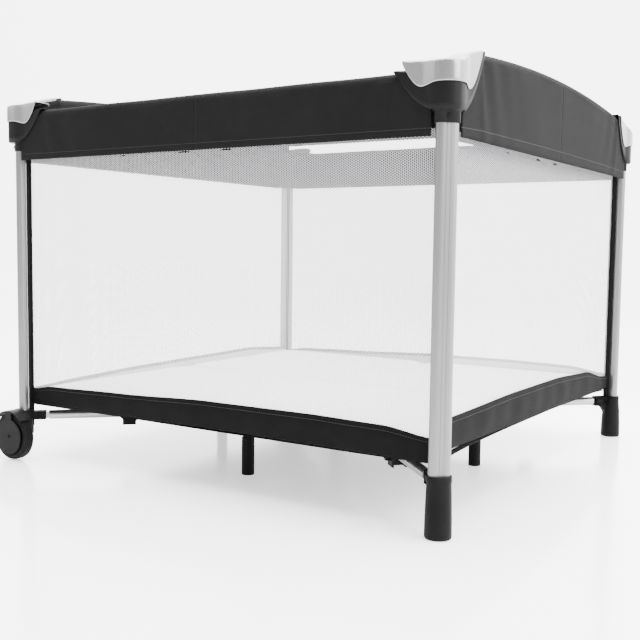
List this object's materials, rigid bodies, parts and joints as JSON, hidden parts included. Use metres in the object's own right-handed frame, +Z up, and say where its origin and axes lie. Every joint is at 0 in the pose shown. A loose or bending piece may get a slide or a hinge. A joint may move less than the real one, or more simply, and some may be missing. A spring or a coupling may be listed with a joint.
{
  "type": "travel play yard",
  "caption": "Square folding travel play yard with mesh walls, padded top rails, corner legs, a hinged floor frame and wheels on one side.",
  "frame": {"origin": "on the floor under the centre hub, at the centre of the centre foot's sole", "axes": "+Z up, +X along the front side to the right, +Y to the back. The front and back rails are straight and the left and right rails are arched"},
  "size_m": [1.0197, 1.0518, 0.767],
  "materials": {
    "leg_silver": "satin anodised",
    "cap_silver": "glossy silver-grey moulding",
    "black_plastic": "black moulded",
    "foot_black": "black moulded foot",
    "wheel_black": "black wheel",
    "button_grey": "grey button",
    "frame_tube": "silver tube",
    "black_cloth": "woven black",
    "base_band": "woven black",
    "white_mesh": "open hexagonal mesh",
    "mattress_white": "quilted white"
  },
  "bodies": {
    "front_right": {"leg_front_right": "leg_silver", "bracket_front_right": "black_plastic", "cap_front_right": "cap_silver", "foot_front_right": "foot_black", "mesh_walls": "white_mesh", "base_cloth": "base_band", "rail_covers": "black_cloth"},
    "front_left": {"leg_front_left": "leg_silver", "bracket_front_left": "black_plastic", "cap_front_left": "cap_silver", "wheel_bracket_front_left": "black_plastic"},
    "back_right": {"leg_back_right": "leg_silver", "bracket_back_right": "black_plastic", "cap_back_right": "cap_silver", "foot_back_right": "foot_black"},
    "back_left": {"leg_back_left": "leg_silver", "bracket_back_left": "black_plastic", "cap_back_left": "cap_silver", "wheel_bracket_back_left": "black_plastic"},
    "hub": {"hub": "black_plastic", "centre_foot": "foot_black", "mattress": "mattress_white"},
    "arm_front_right": {"arm_front_right": "frame_tube"},
    "arm_front_left": {"arm_front_left": "frame_tube"},
    "arm_back_right": {"arm_back_right": "frame_tube"},
    "arm_back_left": {"arm_back_left": "frame_tube"},
    "fitting_front_right": {"fitting_front_right": "black_plastic"},
    "fitting_front_left": {"fitting_front_left": "black_plastic"},
    "fitting_back_right": {"fitting_back_right": "black_plastic"},
    "fitting_back_left": {"fitting_back_left": "black_plastic"},
    "rail_front_right": {"rail_front_right": "frame_tube"},
    "bar_front_right": {"bar_front_right": "frame_tube"},
    "latch_front": {"latch_front": "black_plastic"},
    "button_front": {"button_front": "button_grey"},
    "mid_foot_front": {"mid_foot_front": "foot_black"},
    "rail_front_left": {"rail_front_left": "frame_tube"},
    "bar_front_left": {"bar_front_left": "frame_tube"},
    "rail_back_right": {"rail_back_right": "frame_tube"},
    "bar_back_right": {"bar_back_right": "frame_tube"},
    "latch_back": {"latch_back": "black_plastic"},
    "button_back": {"button_back": "button_grey"},
    "mid_foot_back": {"mid_foot_back": "foot_black"},
    "rail_back_left": {"rail_back_left": "frame_tube"},
    "bar_back_left": {"bar_back_left": "frame_tube"},
    "rail_left_front": {"rail_left_front": "frame_tube"},
    "bar_left_front": {"bar_left_front": "frame_tube"},
    "latch_left": {"latch_left": "black_plastic"},
    "button_left": {"button_left": "button_grey"},
    "mid_foot_left": {"mid_foot_left": "foot_black"},
    "rail_left_back": {"rail_left_back": "frame_tube"},
    "bar_left_back": {"bar_left_back": "frame_tube"},
    "rail_right_front": {"rail_right_front": "frame_tube"},
    "bar_right_front": {"bar_right_front": "frame_tube"},
    "latch_right": {"latch_right": "black_plastic"},
    "button_right": {"button_right": "button_grey"},
    "mid_foot_right": {"mid_foot_right": "foot_black"},
    "rail_right_back": {"rail_right_back": "frame_tube"},
    "bar_right_back": {"bar_right_back": "frame_tube"},
    "wheel_front_left": {"wheel_front_left": "wheel_black"},
    "wheel_back_left": {"wheel_back_left": "wheel_black"}
  },
  "joints": [
    {"name": "floor_fold", "type": "hinge", "parent": "front_right", "child": "arm_front_right", "pos_m": [0.4515, -0.4515, 0.085], "axis": [0.7071, 0.7071, 0], "range_deg": [0, 82], "deforming": ["mesh_walls", "base_cloth", "rail_covers", "mattress"]},
    {"name": "hub_level", "type": "hinge", "parent": "arm_front_right", "child": "hub", "pos_m": [0.054, -0.054, 0.085], "axis": [-0.7071, -0.7071, 0], "range_deg": [0, 82]},
    {"name": "arm_front_left_fold", "type": "hinge", "parent": "hub", "child": "arm_front_left", "pos_m": [-0.054, -0.054, 0.085], "axis": [0.7071, -0.7071, 0], "range_deg": [0, 82]},
    {"name": "leg_front_left_upright", "type": "hinge", "parent": "arm_front_left", "child": "front_left", "pos_m": [-0.4515, -0.4515, 0.085], "axis": [-0.7071, 0.7071, 0], "range_deg": [0, 82]},
    {"name": "arm_back_right_fold", "type": "hinge", "parent": "hub", "child": "arm_back_right", "pos_m": [0.054, 0.054, 0.085], "axis": [-0.7071, 0.7071, 0], "range_deg": [0, 82]},
    {"name": "leg_back_right_upright", "type": "hinge", "parent": "arm_back_right", "child": "back_right", "pos_m": [0.4515, 0.4515, 0.085], "axis": [0.7071, -0.7071, 0], "range_deg": [0, 82]},
    {"name": "arm_back_left_fold", "type": "hinge", "parent": "hub", "child": "arm_back_left", "pos_m": [-0.054, 0.054, 0.085], "axis": [-0.7071, -0.7071, 0], "range_deg": [0, 82]},
    {"name": "leg_back_left_upright", "type": "hinge", "parent": "arm_back_left", "child": "back_left", "pos_m": [-0.4515, 0.4515, 0.085], "axis": [0.7071, 0.7071, 0], "range_deg": [0, 82]},
    {"name": "fitting_front_right_level", "type": "hinge", "parent": "arm_front_right", "child": "fitting_front_right", "pos_m": [0.332, -0.332, 0.085], "axis": [-0.7071, -0.7071, 0], "range_deg": [0, 82]},
    {"name": "fitting_front_left_level", "type": "hinge", "parent": "arm_front_left", "child": "fitting_front_left", "pos_m": [-0.332, -0.332, 0.085], "axis": [-0.7071, 0.7071, 0], "range_deg": [0, 82]},
    {"name": "fitting_back_right_level", "type": "hinge", "parent": "arm_back_right", "child": "fitting_back_right", "pos_m": [0.332, 0.332, 0.085], "axis": [0.7071, -0.7071, 0], "range_deg": [0, 82]},
    {"name": "fitting_back_left_level", "type": "hinge", "parent": "arm_back_left", "child": "fitting_back_left", "pos_m": [-0.332, 0.332, 0.085], "axis": [0.7071, 0.7071, 0], "range_deg": [0, 82]},
    {"name": "rail_front_right_fold", "type": "hinge", "parent": "front_right", "child": "rail_front_right", "pos_m": [0.4415, -0.4775, 0.692], "axis": [0, -1, 0], "range_deg": [0, 82]},
    {"name": "bar_front_right_fold", "type": "hinge", "parent": "fitting_front_right", "child": "bar_front_right", "pos_m": [0.3, -0.332, 0.085], "axis": [0, 1, 0], "range_deg": [0, 82]},
    {"name": "latch_front_level", "type": "hinge", "parent": "rail_front_right", "child": "latch_front", "pos_m": [0.044, -0.4775, 0.692], "axis": [0, 1, 0], "range_deg": [0, 82]},
    {"name": "button_front_press", "type": "slide", "parent": "latch_front", "child": "button_front", "axis": [0, 0, 1], "range_m": [0, 0.005], "stiffness_N_per_m": 600, "springref_m": -0.004},
    {"name": "mid_foot_front_level", "type": "hinge", "parent": "bar_front_right", "child": "mid_foot_front", "pos_m": [0.022, -0.332, 0.085], "axis": [0, -1, 0], "range_deg": [0, 82]},
    {"name": "rail_front_left_fold", "type": "hinge", "parent": "front_left", "child": "rail_front_left", "pos_m": [-0.4415, -0.4775, 0.692], "axis": [0, 1, 0], "range_deg": [0, 82]},
    {"name": "bar_front_left_fold", "type": "hinge", "parent": "fitting_front_left", "child": "bar_front_left", "pos_m": [-0.3, -0.332, 0.085], "axis": [0, -1, 0], "range_deg": [0, 82]},
    {"name": "rail_back_right_fold", "type": "hinge", "parent": "back_right", "child": "rail_back_right", "pos_m": [0.4415, 0.4775, 0.692], "axis": [0, -1, 0], "range_deg": [0, 82]},
    {"name": "bar_back_right_fold", "type": "hinge", "parent": "fitting_back_right", "child": "bar_back_right", "pos_m": [0.3, 0.332, 0.085], "axis": [0, 1, 0], "range_deg": [0, 82]},
    {"name": "latch_back_level", "type": "hinge", "parent": "rail_back_right", "child": "latch_back", "pos_m": [0.044, 0.4775, 0.692], "axis": [0, 1, 0], "range_deg": [0, 82]},
    {"name": "button_back_press", "type": "slide", "parent": "latch_back", "child": "button_back", "axis": [0, 0, 1], "range_m": [0, 0.005], "stiffness_N_per_m": 600, "springref_m": -0.004},
    {"name": "mid_foot_back_level", "type": "hinge", "parent": "bar_back_right", "child": "mid_foot_back", "pos_m": [0.022, 0.332, 0.085], "axis": [0, -1, 0], "range_deg": [0, 82]},
    {"name": "rail_back_left_fold", "type": "hinge", "parent": "back_left", "child": "rail_back_left", "pos_m": [-0.4415, 0.4775, 0.692], "axis": [0, 1, 0], "range_deg": [0, 82]},
    {"name": "bar_back_left_fold", "type": "hinge", "parent": "fitting_back_left", "child": "bar_back_left", "pos_m": [-0.3, 0.332, 0.085], "axis": [0, -1, 0], "range_deg": [0, 82]},
    {"name": "rail_left_front_fold", "type": "hinge", "parent": "front_left", "child": "rail_left_front", "pos_m": [-0.4775, -0.4415, 0.726], "axis": [-1, 0, 0], "range_deg": [0, 82]},
    {"name": "bar_left_front_fold", "type": "hinge", "parent": "fitting_front_left", "child": "bar_left_front", "pos_m": [-0.332, -0.3, 0.085], "axis": [1, 0, 0], "range_deg": [0, 82]},
    {"name": "latch_left_level", "type": "hinge", "parent": "rail_left_front", "child": "latch_left", "pos_m": [-0.4775, -0.044, 0.726], "axis": [1, 0, 0], "range_deg": [0, 82]},
    {"name": "button_left_press", "type": "slide", "parent": "latch_left", "child": "button_left", "axis": [0, 0, 1], "range_m": [0, 0.005], "stiffness_N_per_m": 600, "springref_m": -0.004},
    {"name": "mid_foot_left_level", "type": "hinge", "parent": "bar_left_front", "child": "mid_foot_left", "pos_m": [-0.332, -0.022, 0.085], "axis": [-1, 0, 0], "range_deg": [0, 82]},
    {"name": "rail_left_back_fold", "type": "hinge", "parent": "back_left", "child": "rail_left_back", "pos_m": [-0.4775, 0.4415, 0.726], "axis": [1, 0, 0], "range_deg": [0, 82]},
    {"name": "bar_left_back_fold", "type": "hinge", "parent": "fitting_back_left", "child": "bar_left_back", "pos_m": [-0.332, 0.3, 0.085], "axis": [-1, 0, 0], "range_deg": [0, 82]},
    {"name": "rail_right_front_fold", "type": "hinge", "parent": "front_right", "child": "rail_right_front", "pos_m": [0.4775, -0.4415, 0.726], "axis": [-1, 0, 0], "range_deg": [0, 82]},
    {"name": "bar_right_front_fold", "type": "hinge", "parent": "fitting_front_right", "child": "bar_right_front", "pos_m": [0.332, -0.3, 0.085], "axis": [1, 0, 0], "range_deg": [0, 82]},
    {"name": "latch_right_level", "type": "hinge", "parent": "rail_right_front", "child": "latch_right", "pos_m": [0.4775, -0.044, 0.726], "axis": [1, 0, 0], "range_deg": [0, 82]},
    {"name": "button_right_press", "type": "slide", "parent": "latch_right", "child": "button_right", "axis": [0, 0, 1], "range_m": [0, 0.005], "stiffness_N_per_m": 600, "springref_m": -0.004},
    {"name": "mid_foot_right_level", "type": "hinge", "parent": "bar_right_front", "child": "mid_foot_right", "pos_m": [0.332, -0.022, 0.085], "axis": [-1, 0, 0], "range_deg": [0, 82]},
    {"name": "rail_right_back_fold", "type": "hinge", "parent": "back_right", "child": "rail_right_back", "pos_m": [0.4775, 0.4415, 0.726], "axis": [1, 0, 0], "range_deg": [0, 82]},
    {"name": "bar_right_back_fold", "type": "hinge", "parent": "fitting_back_right", "child": "bar_right_back", "pos_m": [0.332, 0.3, 0.085], "axis": [-1, 0, 0], "range_deg": [0, 82]},
    {"name": "wheel_front_left_roll", "type": "hinge", "parent": "front_left", "child": "wheel_front_left", "pos_m": [-0.4685, -0.51, 0.04825], "axis": [0, 1, 0], "continuous": true},
    {"name": "wheel_back_left_roll", "type": "hinge", "parent": "back_left", "child": "wheel_back_left", "pos_m": [-0.4685, 0.51, 0.04825], "axis": [0, 1, 0], "continuous": true}
  ],
  "couplings": [
    {"joint": "hub_level", "follows": "floor_fold", "ratio": 1},
    {"joint": "arm_front_left_fold", "follows": "floor_fold", "ratio": 1},
    {"joint": "leg_front_left_upright", "follows": "floor_fold", "ratio": 1},
    {"joint": "arm_back_right_fold", "follows": "floor_fold", "ratio": 1},
    {"joint": "leg_back_right_upright", "follows": "floor_fold", "ratio": 1},
    {"joint": "arm_back_left_fold", "follows": "floor_fold", "ratio": 1},
    {"joint": "leg_back_left_upright", "follows": "floor_fold", "ratio": 1},
    {"joint": "fitting_front_right_level", "follows": "floor_fold", "ratio": 1},
    {"joint": "fitting_front_left_level", "follows": "floor_fold", "ratio": 1},
    {"joint": "fitting_back_right_level", "follows": "floor_fold", "ratio": 1},
    {"joint": "fitting_back_left_level", "follows": "floor_fold", "ratio": 1},
    {"joint": "rail_front_right_fold", "follows": "floor_fold", "ratio": 1},
    {"joint": "bar_front_right_fold", "follows": "floor_fold", "ratio": 1},
    {"joint": "latch_front_level", "follows": "floor_fold", "ratio": 1},
    {"joint": "mid_foot_front_level", "follows": "floor_fold", "ratio": 1},
    {"joint": "rail_front_left_fold", "follows": "floor_fold", "ratio": 1},
    {"joint": "bar_front_left_fold", "follows": "floor_fold", "ratio": 1},
    {"joint": "rail_back_right_fold", "follows": "floor_fold", "ratio": 1},
    {"joint": "bar_back_right_fold", "follows": "floor_fold", "ratio": 1},
    {"joint": "latch_back_level", "follows": "floor_fold", "ratio": 1},
    {"joint": "mid_foot_back_level", "follows": "floor_fold", "ratio": 1},
    {"joint": "rail_back_left_fold", "follows": "floor_fold", "ratio": 1},
    {"joint": "bar_back_left_fold", "follows": "floor_fold", "ratio": 1},
    {"joint": "rail_left_front_fold", "follows": "floor_fold", "ratio": 1},
    {"joint": "bar_left_front_fold", "follows": "floor_fold", "ratio": 1},
    {"joint": "latch_left_level", "follows": "floor_fold", "ratio": 1},
    {"joint": "mid_foot_left_level", "follows": "floor_fold", "ratio": 1},
    {"joint": "rail_left_back_fold", "follows": "floor_fold", "ratio": 1},
    {"joint": "bar_left_back_fold", "follows": "floor_fold", "ratio": 1},
    {"joint": "rail_right_front_fold", "follows": "floor_fold", "ratio": 1},
    {"joint": "bar_right_front_fold", "follows": "floor_fold", "ratio": 1},
    {"joint": "latch_right_level", "follows": "floor_fold", "ratio": 1},
    {"joint": "mid_foot_right_level", "follows": "floor_fold", "ratio": 1},
    {"joint": "rail_right_back_fold", "follows": "floor_fold", "ratio": 1},
    {"joint": "bar_right_back_fold", "follows": "floor_fold", "ratio": 1}
  ]
}
